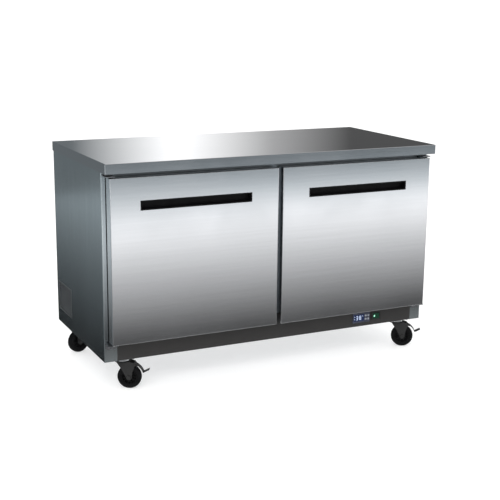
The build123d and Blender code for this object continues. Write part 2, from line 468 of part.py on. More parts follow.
ev_motor = cy(0, FAN_Z, EV_Y + 9, EV_Y + 27.5, 3.0) + cy(0, FAN_Z, EV_Y + 27.8, EV_Y + 55, 24.0)
ev_motor += bx(-6, 6, EV_Y + 44, EV_Y + 50, EV_Z0 + 1.25, FAN_Z - 20) + bx(-6, 6, EV_Y + 44, EV_Y + 50, FAN_Z + 20, EV_Z1 - 1.25)
ev_motor = ev_motor + cy(0, FAN_Z, EV_Y + 27.0, EV_Y + 28.2, 3.0)
cd_motor = cx(MY, MZ, -681, -662, 3.0) + cx(MY, MZ, -662.5, -618, 24.0)
cd_motor += bx(-640, -628, MY - 6, MY + 6, CB + 2.8, MZ - 20) + bx(-654, -612, MY - 26, MY + 26, CB + 2.8, CB + 5.0)
save("fan_motors", ev_motor, cd_motor)

CX_, CY_ = -440.0, 240.0
comp = cz(CX_, CY_, CB + 24, CB + 188, 82.0)
comp = fillet([e for e in comp.edges() if e.geom_type == GeomType.CIRCLE], 38.0)
comp_in = cz(CX_, CY_, CB + 27, CB + 185, 79.0)
comp_in = fillet([e for e in comp_in.edges() if e.geom_type == GeomType.CIRCLE], 35.0)
weld = cz(CX_, CY_, CB + 100, CB + 106, 84.5) - cz(CX_, CY_, CB + 99, CB + 107, 81.0)
comp = comp + weld
comp = comp + bx(CX_ - 96, CX_ + 96, CY_ - 52, CY_ + 52, CB + 14, CB + 17.5) + cz(CX_, CY_, CB + 15, CB + 40, 46.0)
comp -= comp_in
for sx in (-1, 1):
    for sy in (-1, 1):
        comp -= cz(CX_ + sx * 86, CY_ + sy * 42, CB + 10, CB + 20, 6.0)
motor_in = cz(CX_, CY_, CB + 46, CB + 165, 58.0)
terminal = bx(CX_ + 84.6, CX_ + 116, CY_ - 30, CY_ + 30, CB + 70, CB + 135)
save("compressor", comp, motor_in, terminal)
mounts = []
for sx in (-1, 1):
    for sy in (-1, 1):
        m = cz(CX_ + sx * 86, CY_ + sy * 42, CB + 2.8, CB + 14, 10.0) + cz(CX_ + sx * 86, CY_ + sy * 42, CB + 13, CB + 22, 5.9)
        mounts.append(m)
save("compressor_mounts", *mounts)
dp = bx(-225, -20, 142, 340, CB + 1.2, CB + 42) - bx(-223.5, -21.5, 143.5, 338.5, CB + 2.6, CB + 60)
save("condensing_unit_base", base, shroud, dp)

# copper lines and the drier, each held at both ends
suction = tube([(LINES[0] - 4, LINES[1], EV_BOTTOM), (LINES[0] - 4, LINES[1], CB + 213), (CX_ + 30, LINES[1], CB + 213), (CX_ + 30, LINES[1], CB + 188)], [18, 14], 4.5)
discharge = tube([(CX_ - 25, CY_ - 25, CB + 188), (CX_ - 25, CY_ - 25, CB + 220), (CX_ - 25, MY - 60, CB + 220), (-719, MY - 60, CB + 220), (-719, MY - 60, MZ + 88.0)], [10, 10, 8], 3.0)
liquid = tube([(-719, MY + 60, MZ + 88.0), (-719, MY + 60, CB + 222), (-590, MY + 60, CB + 222), (-590, 334, CB + 222), (-590, 334, CB + 150), (-560, 334, CB + 150)], [8, 12, 12, 12], 3.0)
drier = Pos(-527, 334, CB + 150) * Rot(0, 90, 0) * Cylinder(11.0, 66)
capillary = tube([(-494, 334, CB + 150), (-290, 334, CB + 150), (-290, 334, CB + 226), (LINES[0] + 7, 334, CB + 226), (LINES[0] + 7, LINES[1], CB + 226), (LINES[0] + 7, LINES[1], EV_BOTTOM)], [12, 12, 12, 12], 2.0)
save("refrigerant_lines", suction, discharge, liquid, drier, capillary)

# ------------------------------------------------------------------ controls on the lower rail
body = bx(CTRL_X - 45, CTRL_X + 45, Y_FACE - 3, Y_FACE, CTRL_Z - 23, CTRL_Z + 23)
body = fillet(body.edges().filter_by(Axis.Y), 4.0)
body = fillet(body.faces().sort_by(Axis.Y)[0].edges(), 1.0)
body += bx(CTRL_X - 36, CTRL_X + 36, Y_FACE, Y_FACE + 40, CTRL_Z - 18, CTRL_Z + 18)
WIN = (CTRL_X - 40, CTRL_X + 14, CTRL_Z - 15, CTRL_Z + 15)
body -= bx(WIN[0] - 0.1, WIN[1] + 0.1, Y_FACE - 5, Y_FACE - 1.8, WIN[2] - 0.1, WIN[3] + 0.1)
KEYS = {"set": (CTRL_X + 22.5, CTRL_Z + 8), "up": (CTRL_X + 36, CTRL_Z + 8), "power": (CTRL_X + 22.5, CTRL_Z - 8), "down": (CTRL_X + 36, CTRL_Z - 8)}
for kx, kz in KEYS.values():
    body -= cy(kx, kz, Y_FACE - 5, Y_FACE - 0.2, 5.3)
save("controller", body)
save("controller_display", bx(WIN[0], WIN[1], Y_FACE - 3.1, Y_FACE - 1.85, WIN[2], WIN[3]))
for k, (kx, kz) in KEYS.items():
    key = cy(kx, kz, Y_FACE - 4.2, Y_FACE - 1.2, 5.0)
    key = fillet([e for e in key.edges() if e.geom_type == GeomType.CIRCLE and e.center().Y < Y_FACE - 4], 0.6)
    save(f"controller_key_{k}", key)

SW_Y = Y_FACE + 6.0
fr = bx(SW_X - 24, SW_X + 24, Y_FACE - 2.5, Y_FACE, CTRL_Z - 17, CTRL_Z + 17)
fr = fillet(fr.edges().filter_by(Axis.Y), 2.5)
fr += bx(SW_X - 19, SW_X + 19, Y_FACE, Y_FACE + 30, CTRL_Z - 14, CTRL_Z + 14)
fr -= bx(SW_X - 17.6, SW_X + 17.6, Y_FACE - 5, Y_FACE + 14, CTRL_Z - 12.6, CTRL_Z + 12.6)
fr -= cz(SW_X, SW_Y, CTRL_Z - 13.6, CTRL_Z + 13.6, 1.56)
save("power_switch", fr)
with BuildSketch(Plane.XY) as rs:
    Polygon((-16.4, 3.0), (-16.4, -9.0), (0, -11.4), (16.4, -9.0), (16.4, 3.0), align=None)
rocker = extrude(rs.sketch, 12.2, both=True) + Cylinder(1.5, 26.8)
rocker = Pos(SW_X, SW_Y, CTRL_Z) * Rot(0, 0, -7) * rocker
save("power_switch_rocker", rocker)

# ------------------------------------------------------------------ fasteners
screws = []
for hx, hz in HOLES:
    for s in (1, -1):
        screws.append(cy(s * hx, hz, Y_FACE - 5, Y_FACE - 3, 4.2) + cy(s * hx, hz, Y_FACE - 4, Y_FACE, 2.55))
for x, y in PLACES.values():
    for sx in (-1, 1):
        for sy in (-1, 1):
            hx, hy = x + sx * 38, y + sy * 28
            hexa = Pos(hx, hy, CB - 5.5) * extrude(RegularPolygon(7.2, 6), 2.5, both=True)
            screws.append(hexa + cz(hx, hy, CB - 4, CB, 4.1))
for x in (-690, -230, 230, 690):
    for z in (CB + 14, CB + 210):
        screws.append(cy(x, z, Y_BACK, Y_BACK + 2.2, 4.2))
save("screws", *screws)
print("parts written:", len(os.listdir("parts")))
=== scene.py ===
import json
import math
import bpy
import bmesh
from mathutils import Matrix, Vector


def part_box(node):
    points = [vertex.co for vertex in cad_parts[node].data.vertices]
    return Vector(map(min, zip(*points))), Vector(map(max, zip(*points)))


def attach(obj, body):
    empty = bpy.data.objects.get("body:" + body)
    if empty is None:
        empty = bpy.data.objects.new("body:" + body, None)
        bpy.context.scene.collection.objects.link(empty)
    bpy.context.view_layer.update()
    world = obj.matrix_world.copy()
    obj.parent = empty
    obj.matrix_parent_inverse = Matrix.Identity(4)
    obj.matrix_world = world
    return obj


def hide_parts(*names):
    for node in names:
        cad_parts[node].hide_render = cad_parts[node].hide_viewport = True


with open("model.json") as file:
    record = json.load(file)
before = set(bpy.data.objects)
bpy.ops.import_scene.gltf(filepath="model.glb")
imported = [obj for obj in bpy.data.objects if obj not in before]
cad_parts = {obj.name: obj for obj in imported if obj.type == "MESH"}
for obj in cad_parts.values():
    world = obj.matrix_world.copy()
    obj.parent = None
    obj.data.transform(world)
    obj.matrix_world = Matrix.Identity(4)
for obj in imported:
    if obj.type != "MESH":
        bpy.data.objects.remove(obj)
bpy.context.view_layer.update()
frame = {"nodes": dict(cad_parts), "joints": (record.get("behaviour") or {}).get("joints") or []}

NODES = frame["nodes"]
JOINTS = {j["name"]: j for j in frame["joints"]}
scene = bpy.context.scene


# ------------------------------------------------------------------ small tools
def link(obj):
    scene.collection.objects.link(obj)
    return obj


def mesh_object(name, bm, mat, smooth=True, angle=35.0):
    me = bpy.data.meshes.new(name)
    bm.normal_update()
    bm.to_mesh(me)
    bm.free()
    obj = link(bpy.data.objects.new(name, me))
    if mat is not None:
        me.materials.append(mat)
    for p in me.polygons:
        p.use_smooth = smooth
    if smooth:
        me.set_sharp_from_angle(angle=math.radians(angle))
    return obj


def add_bevel(obj, width, segments=2, angle=30.0):
    m = obj.modifiers.new("bevel", "BEVEL")
    m.width = width
    m.segments = segments
    m.limit_method = "ANGLE"
    m.angle_limit = math.radians(angle)
    m.harden_normals = False
    return m


def bm_box(bm, lo, hi, matrix=None):
    x0, y0, z0 = lo
    x1, y1, z1 = hi
    pts = [(x0, y0, z0), (x1, y0, z0), (x1, y1, z0), (x0, y1, z0), (x0, y0, z1), (x1, y0, z1), (x1, y1, z1), (x0, y1, z1)]
    vs = [bm.verts.new(matrix @ Vector(p) if matrix else Vector(p)) for p in pts]
    for f in ((0, 3, 2, 1), (4, 5, 6, 7), (0, 1, 5, 4), (1, 2, 6, 5), (2, 3, 7, 6), (3, 0, 4, 7)):
        bm.faces.new([vs[i] for i in f])
    return vs


def bm_lathe(bm, profile, centre, axis, n=64, closed=True):
    """Turns a profile of (radius, along) points about an axis through centre."""
    axis = Vector(axis).normalized()
    u = axis.orthogonal().normalized()
    w = axis.cross(u)
    rings = []
    for r, a in profile:
        if r < 1e-7:
            rings.append([bm.verts.new(Vector(centre) + axis * a)])
        else:
            rings.append([bm.verts.new(Vector(centre) + axis * a + (u * math.cos(2 * math.pi * k / n) + w * math.sin(2 * math.pi * k / n)) * r) for k in range(n)])
    pairs = list(zip(rings, rings[1:] + ([rings[0]] if closed else [])))
    if not closed:
        pairs = pairs[: len(rings) - 1]
    for a, b in pairs:
        for k in range(n):
            k2 = (k + 1) % n
            if len(a) == 1 and len(b) == 1:
                continue
            if len(a) == 1:
                bm.faces.new((a[0], b[k2], b[k]))
            elif len(b) == 1:
                bm.faces.new((a[k], a[k2], b[0]))
            else:
                bm.faces.new((a[k], a[k2], b[k2], b[k]))
    bmesh.ops.recalc_face_normals(bm, faces=bm.faces)


# ------------------------------------------------------------------ materials
class Nodes:
    def __init__(self, name):
        self.mat = bpy.data.materials.new(name)
        self.mat.use_nodes = True
        self.t = self.mat.node_tree
        self.t.nodes.clear()
        self.out = self.t.nodes.new("ShaderNodeOutputMaterial")
        self.p = self.t.nodes.new("ShaderNodeBsdfPrincipled")
        self.t.links.new(self.p.outputs[0], self.out.inputs[0])
        self.coord = self.t.nodes.new("ShaderNodeTexCoord")

    def set(self, **kw):
        for k, v in kw.items():
            self.p.inputs[k.replace("_", " ")].default_value = v
        return self

    def link(self, a, b):
        self.t.links.new(a, b)

    def mapping(self, scale, rotation=(0, 0, 0)):
        m = self.t.nodes.new("ShaderNodeMapping")
        m.inputs["Scale"].default_value = scale
        m.inputs["Rotation"].default_value = rotation
        self.link(self.coord.outputs["Object"], m.inputs["Vector"])
        return m.outputs[0]

    def noise(self, vector, scale=1.0, detail=4.0, rough=0.5, distortion=0.0):
        n = self.t.nodes.new("ShaderNodeTexNoise")
        n.inputs["Scale"].default_value = scale
        n.inputs["Detail"].default_value = detail
        n.inputs["Roughness"].default_value = rough
        n.inputs["Distortion"].default_value = distortion
        self.link(vector, n.inputs["Vector"])
        return n.outputs[0]

    def voronoi(self, vector, scale=1.0, feature="F1", out="Distance"):
        n = self.t.nodes.new("ShaderNodeTexVoronoi")
        n.feature = feature
        n.inputs["Scale"].default_value = scale
        self.link(vector, n.inputs["Vector"])
        return n.outputs[out]

    def ramp(self, value, stops):
        r = self.t.nodes.new("ShaderNodeValToRGB")
        e = r.color_ramp.elements
        while len(e) < len(stops):
            e.new(0.5)
        for el, (pos, col) in zip(e, stops):
            el.position = pos
            el.color = (*col, 1.0) if len(col) == 3 else col
        self.link(value, r.inputs[0])
        return r.outputs[0]

    def maprange(self, value, a, b, c, d):
        m = self.t.nodes.new("ShaderNodeMapRange")
        for i, v in zip(("From Min", "From Max", "To Min", "To Max"), (a, b, c, d)):
            m.inputs[i].default_value = v
        self.link(value, m.inputs[0])
        return m.outputs[0]

    def math(self, op, a, b):
        m = self.t.nodes.new("ShaderNodeMath")
        m.operation = op
        for i, v in enumerate((a, b)):
            if isinstance(v, (int, float)):
                m.inputs[i].default_value = v
            else:
                self.link(v, m.inputs[i])
        return m.outputs[0]

    def mix(self, fac, a, b, mode="MIX"):
        m = self.t.nodes.new("ShaderNodeMix")
        m.data_type = "RGBA"
        m.blend_type = mode
        ins = [i for i in m.inputs if i.type == "RGBA"]
        if isinstance(fac, (int, float)):
            m.inputs[0].default_value = fac
        else:
            self.link(fac, m.inputs[0])
        for sock, v in zip(ins, (a, b)):
            if isinstance(v, tuple):
                sock.default_value = (*v, 1.0)
            else:
                self.link(v, sock)
        return [o for o in m.outputs if o.type == "RGBA"][0]

    def bump(self, height, strength, distance, normal=None):
        b = self.t.nodes.new("ShaderNodeBump")
        b.inputs["Strength"].default_value = strength
        b.inputs["Distance"].default_value = distance
        self.link(height, b.inputs["Height"])
        if normal is not None:
            self.link(normal, b.inputs["Normal"])
        return b.outputs[0]

    def colour(self, sock):
        self.link(sock, self.p.inputs["Base Color"])

    def rough(self, sock):
        self.link(sock, self.p.inputs["Roughness"])

    def normal(self, sock):
        self.link(sock, self.p.inputs["Normal"])

    def wear(self, lo=0.49, hi=0.54):
        """1 on convex edges, 0 elsewhere, from the mesh's own pointiness."""
        g = self.t.nodes.new("ShaderNodeNewGeometry")
        return self.maprange(g.outputs["Pointiness"], lo, hi, 0.0, 1.0)


def brushed(name, along, base=(0.66, 0.67, 0.69), rough=0.18, spread=0.03, streak=0.07, relief=0.00003):
    """Brushed stainless: long fine scratches along one axis, with soft cloudy variation from handling."""
    n = Nodes(name)
    n.set(Metallic=1.0)

    def stretched(long, cross):
        return n.mapping(tuple(long if a == along else cross for a in "xyz"))

    f = n.noise(stretched(14.0, 1500.0), 1.0, 2.0, 0.6)
    m = n.noise(stretched(5.0, 430.0), 1.0, 3.0, 0.55)
    band = n.noise(stretched(1.2, 90.0), 1.0, 2.0, 0.5)
    cloud = n.noise(n.mapping((1.0, 1.0, 1.0)), 3.2, 3.0, 0.5, 0.4)
    mixd = n.math("ADD", n.math("MULTIPLY", f, 0.6), n.math("MULTIPLY", m, 0.4))
    tone = n.math("ADD", n.math("MULTIPLY", mixd, 0.6), n.math("MULTIPLY", band, 0.4))
    lo = tuple(c * (1 - streak) for c in base)
    hi = tuple(min(1.0, c * (1 + streak)) for c in base)
    n.colour(n.ramp(tone, [(0.36, lo), (0.64, hi)]))
    r1 = n.maprange(mixd, 0.3, 0.7, rough - spread, rough + spread)
    r2 = n.maprange(cloud, 0.35, 0.65, -0.015, 0.02)
    n.rough(n.math("ADD", r1, r2))
    n.normal(n.bump(mixd, 0.6, relief))
    return n.mat


def painted(name, base, rough=0.4, peel=0.02, edge=None, coat=0.0, spec=0.5):
    """Sprayed paint: faint orange peel, dust, and a lighter worn edge."""
    n = Nodes(name)
    n.set(Metallic=0.0)
    n.p.inputs["Specular IOR Level"].default_value = spec
    if coat:
        n.p.inputs["Coat Weight"].default_value = coat
        n.p.inputs["Coat Roughness"].default_value = 0.12
    peel_h = n.noise(n.mapping((1, 1, 1)), 900.0, 2.0, 0.5)
    cloud = n.noise(n.mapping((1, 1, 1)), 14.0, 4.0, 0.6)
    lo = tuple(c * 0.86 for c in base)
    hi = tuple(min(1.0, c * 1.16) for c in base)
    col = n.ramp(cloud, [(0.3, lo), (0.7, hi)])
    if edge:
        col = n.mix(n.math("MULTIPLY", n.wear(), 0.55), col, edge)
    n.colour(col)
    n.rough(n.maprange(cloud, 0.3, 0.7, rough - 0.05, rough + 0.06))
    n.normal(n.bump(peel_h, peel * 5, 0.0001))
    return n.mat


def moulded(name, base, rough=0.5, grain=1500.0, bump=0.12, spec=0.45, sheen=None):
    """Moulded plastic with the fine spark-eroded grain of its tool."""
    n = Nodes(name)
    n.p.inputs["Specular IOR Level"].default_value = spec
    g = n.voronoi(n.mapping((1, 1, 1)), grain)
    cloud = n.noise(n.mapping((1, 1, 1)), 30.0, 3.0, 0.5)
    lo = tuple(c * 0.85 for c in base)
    hi = tuple(min(1.0, c * 1.2 + 0.002) for c in base)
    n.colour(n.ramp(cloud, [(0.3, lo), (0.7, hi)]))
    n.rough(n.maprange(g, 0.0, 0.8, rough - 0.06, rough + 0.08))
    n.normal(n.bump(g, bump, 0.00015))
    return n.mat


def rubber(name, base=(0.014, 0.014, 0.015), rough=0.62, spec=0.4):
    n = Nodes(name)
    n.p.inputs["Specular IOR Level"].default_value = spec
    dust = n.noise(n.mapping((1, 1, 1)), 45.0, 5.0, 0.65)
    pit = n.noise(n.mapping((1, 1, 1)), 1600.0, 2.0, 0.5)
    n.colour(n.ramp(dust, [(0.35, base), (0.75, tuple(c * 1.8 + 0.003 for c in base))]))
    n.rough(n.maprange(dust, 0.3, 0.7, rough - 0.08, rough + 0.15))
    n.normal(n.bump(pit, 0.16, 0.0002))
    return n.mat


def plated(name, base, rough=0.22, cloud_amt=0.08):
    """Zinc or nickel plate: bright, slightly cloudy, duller in random patches."""
    n = Nodes(name)
    n.set(Metallic=1.0)
    cloud = n.noise(n.mapping((1, 1, 1)), 22.0, 5.0, 0.6, 0.6)
    fine = n.noise(n.mapping((1, 1, 1)), 700.0, 2.0, 0.5)
    lo = tuple(c * (1 - cloud_amt * 2) for c in base)
    n.colour(n.ramp(cloud, [(0.3, lo), (0.68, base)]))
    n.rough(n.maprange(cloud, 0.3, 0.7, rough + 0.1, rough - 0.03))
    n.normal(n.bump(fine, 0.05, 0.0001))
    return n.mat


def spangle(name, base=(0.55, 0.57, 0.59)):
    """Hot-dip galvanised sheet with its crystal spangle."""
    n = Nodes(name)
    n.set(Metallic=0.9)
    v = n.voronoi(n.mapping((1, 1, 1)), 90.0, "F1", "Color")
    sep = n.t.nodes.new("ShaderNodeSeparateColor")
    n.link(v, sep.inputs[0])
    cloud = n.noise(n.mapping((1, 1, 1)), 9.0, 4.0, 0.6)
    val = n.math("ADD", n.math("MULTIPLY", sep.outputs[0], 0.5), n.math("MULTIPLY", cloud, 0.5))
    n.colour(n.ramp(val, [(0.2, tuple(c * 0.82 for c in base)), (0.8, tuple(c * 1.12 for c in base))]))
    n.rough(n.maprange(val, 0.2, 0.8, 0.36, 0.52))
    return n.mat


def glow(name, colour, strength, base=(0.02, 0.02, 0.02), rough=0.25, cells=0.0):
    n = Nodes(name)
    n.set(Roughness=rough)
    v = n.noise(n.mapping((1, 1, 1)), 220.0 if not cells else cells, 2.0, 0.5)
    n.colour(n.ramp(v, [(0.2, tuple(c * 0.8 for c in base)), (0.8, tuple(min(1, c * 1.2) for c in base))]))
    n.link(n.ramp(v, [(0.25, tuple(c * 0.82 for c in colour)), (0.75, colour)]), n.p.inputs["Emission Color"])
    n.p.inputs["Emission Strength"].default_value = strength
    return n.mat


MAT = {}
MAT["steel_top"] = brushed("steel_worktop", "x", base=(0.54, 0.55, 0.57), rough=0.12, streak=0.055)
MAT["steel_door"] = brushed("steel_door", "x", rough=0.14, spread=0.02, streak=0.025)
MAT["steel_side"] = brushed("steel_side", "z", base=(0.52, 0.57, 0.59), rough=0.17, streak=0.06)
# the front frame steel has a far darker base than the door steel: painted shade for the stiles, the top rail and the
# gaps round the doors
MAT["steel_frame_painted_shade"] = brushed("steel_frame_painted_shade", "z", base=(0.27, 0.30, 0.32), rough=0.32)
MAT["steel_liner"] = brushed("steel_liner", "x", base=(0.70, 0.71, 0.72), rough=0.34, streak=0.06)
MAT["galvanised"] = spangle("galvanised_sheet")
MAT["rail"] = painted("rail_paint", (0.012, 0.010, 0.009), rough=0.36, peel=0.03, edge=(0.05, 0.05, 0.05), spec=0.25)
MAT["bracket"] = plated("hinge_steel", (0.34, 0.35, 0.37), rough=0.30)
MAT["bright"] = plated("bright_steel", (0.70, 0.71, 0.73), rough=0.20)
MAT["zinc"] = plated("zinc_plate", (0.66, 0.68, 0.70), rough=0.26, cloud_amt=0.12)
MAT["castor_paint"] = painted("castor_paint", (0.003, 0.003, 0.0035), rough=0.40, edge=(0.05, 0.05, 0.05), spec=0.06)
MAT["pull"] = moulded("pull_plastic", (0.003, 0.003, 0.004), rough=0.55, grain=1300.0, spec=0.2)
MAT["black_plastic"] = moulded("black_plastic", (0.012, 0.012, 0.013), rough=0.46)
MAT["hub"] = moulded("hub_plastic", (0.004, 0.004, 0.0045), rough=0.40, grain=1100.0, spec=0.08)
MAT["tyre"] = rubber("tyre_rubber", (0.003, 0.003, 0.0035), 0.60, 0.08)
MAT["louvre"] = moulded("louvre_plastic", (0.055, 0.060, 0.064), rough=0.42, grain=1400.0)
MAT["gasket"] = rubber("gasket_rubber", (0.020, 0.021, 0.022), 0.5)
MAT["mount_rubber"] = rubber("mount_rubber", (0.025, 0.024, 0.024), 0.7)
MAT["wire"] = painted("wire_epoxy", (0.66, 0.67, 0.68), rough=0.34, peel=0.03)
MAT["enamel"] = painted("compressor_enamel", (0.012, 0.012, 0.012), rough=0.22, coat=0.6)
MAT["motor"] = painted("motor_paint", (0.05, 0.05, 0.055), rough=0.45)
MAT["fins"] = plated("aluminium_fins", (0.72, 0.73, 0.74), rough=0.34)
MAT["copper"] = plated("copper_tube", (0.80, 0.42, 0.28), rough=0.26, cloud_amt=0.16)
MAT["foam"] = moulded("foam_core", (0.72, 0.62, 0.38), rough=0.9, grain=700.0, bump=0.4, spec=0.2)
MAT["core"] = moulded("panel_core", (0.035, 0.026, 0.022), rough=0.85, grain=500.0, bump=0.4, spec=0.2)
MAT["bezel"] = moulded("bezel_plastic", (0.035, 0.040, 0.065), rough=0.35, grain=1600.0, bump=0.06)
MAT["key"] = moulded("key_rubber", (0.24, 0.26, 0.30), rough=0.55, grain=1700.0, bump=0.06)
MAT["window"] = glow("display_window", (0.05, 0.09, 0.26), 0.15, base=(0.01, 0.015, 0.045), rough=0.12)
MAT["digits"] = glow("display_digits", (0.72, 0.83, 1.0), 0.45, base=(0.5, 0.6, 0.8), rough=0.3)
MAT["rocker"] = glow("rocker_green", (0.0, 0.20, 0.08), 0.04, base=(0.003, 0.035, 0.017), rough=0.2)
# the rocker spot glows as a painted highlight
MAT["lamp"] = glow("rocker_lamp", (0.45, 1.0, 0.72), 0.7, base=(0.3, 0.7, 0.5), rough=0.3)

NODE_MAT = {
    "worktop_skin": "steel_top", "worktop_core": "core",
    "side_panel_left": "steel_side", "side_panel_right": "steel_side", "side_louvre": "louvre",
    "rear_panels": "galvanised", "base_pan": "galvanised", "condensing_unit_base": "galvanised",
    "front_frame": "steel_frame_painted_shade", "front_lower_rail": "rail",
    "cabinet_foam": "foam", "door_foam_left": "foam", "door_foam_right": "foam",
    "inner_liner": "steel_liner", "door_liner_left": "steel_liner", "door_liner_right": "steel_liner",
    "door_skin_left": "steel_door", "door_skin_right": "steel_door",
    "door_pull_left": "pull", "door_pull_right": "pull",
    "door_gasket_left": "gasket", "door_gasket_right": "gasket",
    "hinge_brackets": "bracket", "hinge_bushes_left": "black_plastic", "hinge_bushes_right": "black_plastic",
    "cord_gland": "black_plastic", "screws": "bright", "castor_plates": "zinc",
    "castor_brake_fl": "castor_paint", "castor_brake_fr": "castor_paint",
    "shelf_supports": "steel_liner", "evaporator_cover": "steel_liner",
    "evaporator_coil": "fins", "condenser_coil": "fins", "evaporator_fan": "black_plastic", "condenser_fan": "black_plastic",
    "fan_motors": "motor", "compressor": "enamel", "compressor_mounts": "mount_rubber", "refrigerant_lines": "copper",
    "controller": "bezel", "controller_display": "window", "power_switch": "black_plastic", "power_switch_rocker": "rocker",
}
for t in ("fl", "fr", "rl", "rr"):
    NODE_MAT[f"castor_fork_{t}"] = "castor_paint"
    NODE_MAT[f"castor_wheel_{t}"] = "tyre"
for s in ("left", "right"):
    for l in ("lower", "upper"):
        NODE_MAT[f"shelf_{s}_{l}"] = "wire"
for k in ("set", "up", "power", "down"):
    NODE_MAT[f"controller_key_{k}"] = "key"

for name, obj in NODES.items():
    obj.data.materials.clear()
    obj.data.materials.append(MAT[NODE_MAT[name]])

for name, width in (("castor_plates", 0.0006), ("hinge_brackets", 0.0004), ("side_louvre", 0.0003), ("power_switch", 0.0004),
                    ("power_switch_rocker", 0.0005), ("rear_panels", 0.0002), ("front_lower_rail", 0.0003), ("castor_brake_fl", 0.0005),
                    ("castor_brake_fr", 0.0005), ("door_pull_left", 0.0005), ("door_pull_right", 0.0005), ("controller_display", 0.0003)):
    add_bevel(NODES[name], width)
for t in ("fl", "fr", "rl", "rr"):
    add_bevel(NODES[f"castor_fork_{t}"], 0.0006)


# ------------------------------------------------------------------ castor wheels: tyre and ribbed hub
for t in ("fl", "fr", "rl", "rr"):
    j = JOINTS[f"wheel_{t}_spin"]
    c, ax = Vector(j["pos_m"]), Vector(j["axis"]).normalized()
    R = 0.050
    bm = bmesh.new()
    prof = [(0.0330, -0.0125), (0.0345, -0.0132), (0.0400, -0.0140), (0.0448, -0.0138), (0.0473, -0.0128), (0.0488, -0.0108), (0.0496, -0.0080),
            (0.0499, -0.0050), (0.04915, -0.0042), (0.04915, -0.0034), (0.0500, -0.0026), (0.0500, 0.0026), (0.04915, 0.0034), (0.04915, 0.0042),
            (0.0499, 0.0050), (0.0496, 0.0080), (0.0488, 0.0108), (0.0473, 0.0128), (0.0448, 0.0138), (0.0400, 0.0140), (0.0345, 0.0132), (0.0330, 0.0125)]
    bm_lathe(bm, prof, c, ax, n=96)
    tyre = mesh_object(f"tyre_{t}", bm, MAT["tyre"], angle=40)
    bm = bmesh.new()
    hub_prof = [(0.0051, -0.0162), (0.0096, -0.0162), (0.0110, -0.0150), (0.0112, -0.0060), (0.0130, -0.0046), (0.0270, -0.0040), (0.0284, -0.0050),
                (0.0290, -0.0112), (0.0300, -0.0121), (0.0322, -0.0122), (0.03295, -0.0112), (0.03295, 0.0112), (0.0322, 0.0122), (0.0300, 0.0121),
                (0.0290, 0.0112), (0.0284, 0.0050), (0.0270, 0.0040), (0.0130, 0.0046), (0.0112, 0.0060), (0.0110, 0.0150), (0.0096, 0.0162), (0.0051, 0.0162)]
    bm_lathe(bm, hub_prof, c, ax, n=72)
    u = ax.orthogonal().normalized()
    w = ax.cross(u)
    for k in range(10):
        a = 2 * math.pi * k / 10
        d = u * math.cos(a) + w * math.sin(a)
        s_ = ax.cross(d)
        m = Matrix((d, s_, ax)).transposed().to_4x4()
        m.translation = c
        for lo, hi in ((-0.0108, -0.0040), (0.0040, 0.0108)):
            bm_box(bm, (0.0105, -0.0011, lo), (0.0292, 0.0011, hi), m)
    hub = mesh_object(f"hub_{t}", bm, MAT["hub"], angle=35)
    add_bevel(hub, 0.0003)
    for o in (tyre, hub):
        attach(o, f"wheel_{t}")
    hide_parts(f"castor_wheel_{t}")

# ------------------------------------------------------------------ door gaskets: a bellows profile swept round a rounded rectangle
def sweep_ring(name, x0, x1, z0, z1, radius, profile, mat, n_arc=8):
    """profile is a closed list of (inward, y) points; the path runs clockwise seen from -Y."""
    path = []
    for cx, cz, a0 in ((x1 - radius, z1 - radius, 90), (x1 - radius, z0 + radius, 0), (x0 + radius, z0 + radius, -90), (x0 + radius, z1 - radius, -180)):
        for k in range(n_arc + 1):
            a = math.radians(a0 - 90.0 * k / n_arc)
            path.append((cx, cz, math.cos(a), math.sin(a)))
    bm = bmesh.new()
    rings = []
    for cx, cz, ca, sa in path:
        rings.append([bm.verts.new((cx + (radius - p) * ca, y, cz + (radius - p) * sa)) for p, y in profile])
    n, m = len(rings), len(profile)
    for i in range(n):
        a, b = rings[i], rings[(i + 1) % n]
        for k in range(m):
            bm.faces.new((a[k], a[(k + 1) % m], b[(k + 1) % m], b[k]))
    bmesh.ops.recalc_face_normals(bm, faces=bm.faces)
    return mesh_object(name, bm, mat, angle=30)


for s in ("left", "right"):
    lo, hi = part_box(f"door_gasket_{s}")
    y0, y1 = lo[1], hi[1]
    d = y1 - y0
    prof = [(0.0000, y0 + 0.0003), (0.0004, y0), (0.0166, y0), (0.0170, y0 + 0.0003), (0.0170, y0 + 0.20 * d), (0.0150, y0 + 0.30 * d), (0.0162, y0 + 0.45 * d),
            (0.0170, y0 + 0.60 * d), (0.0168, y0 + 0.88 * d), (0.0156, y1), (0.0030, y1), (0.0012, y0 + 0.90 * d), (0.0006, y0 + 0.66 * d), (0.0022, y0 + 0.50 * d),
            (0.0006, y0 + 0.34 * d), (0.0000, y0 + 0.24 * d)]
    g = sweep_ring(f"gasket_{s}", lo[0], hi[0], lo[2], hi[2], 0.018, prof, MAT["gasket"])
    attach(g, f"door_{s}")
    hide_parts(f"door_gasket_{s}")

